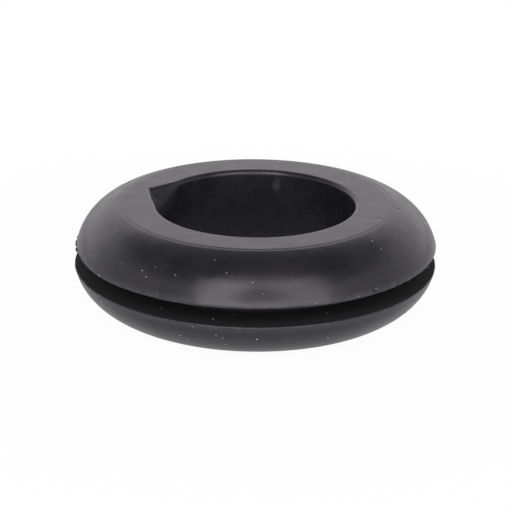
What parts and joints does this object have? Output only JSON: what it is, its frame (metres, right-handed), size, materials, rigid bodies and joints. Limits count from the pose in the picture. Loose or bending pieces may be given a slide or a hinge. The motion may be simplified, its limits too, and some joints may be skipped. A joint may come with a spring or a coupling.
{
  "type": "rubber grommet",
  "caption": "Open round rubber grommet: two soft-shouldered flanges either side of a groove that grips a panel hole's edge, with a wide bore for a cable.",
  "frame": {"origin": "on the grommet's axis in the middle of its groove, which is the middle of the grommet and of the panel's thickness", "axes": "+Z along the bore's axis, out of the upper end face; the grommet is round about Z and its two halves are alike, so X and Y are free and +Z and -Z can change places"},
  "size_m": [0.032, 0.032, 0.009],
  "materials": {
    "rubber": "black moulded rubber, satin sheen, a few specks of pale dust"
  },
  "bodies": {
    "root": {"grommet": "rubber"}
  },
  "joints": []
}
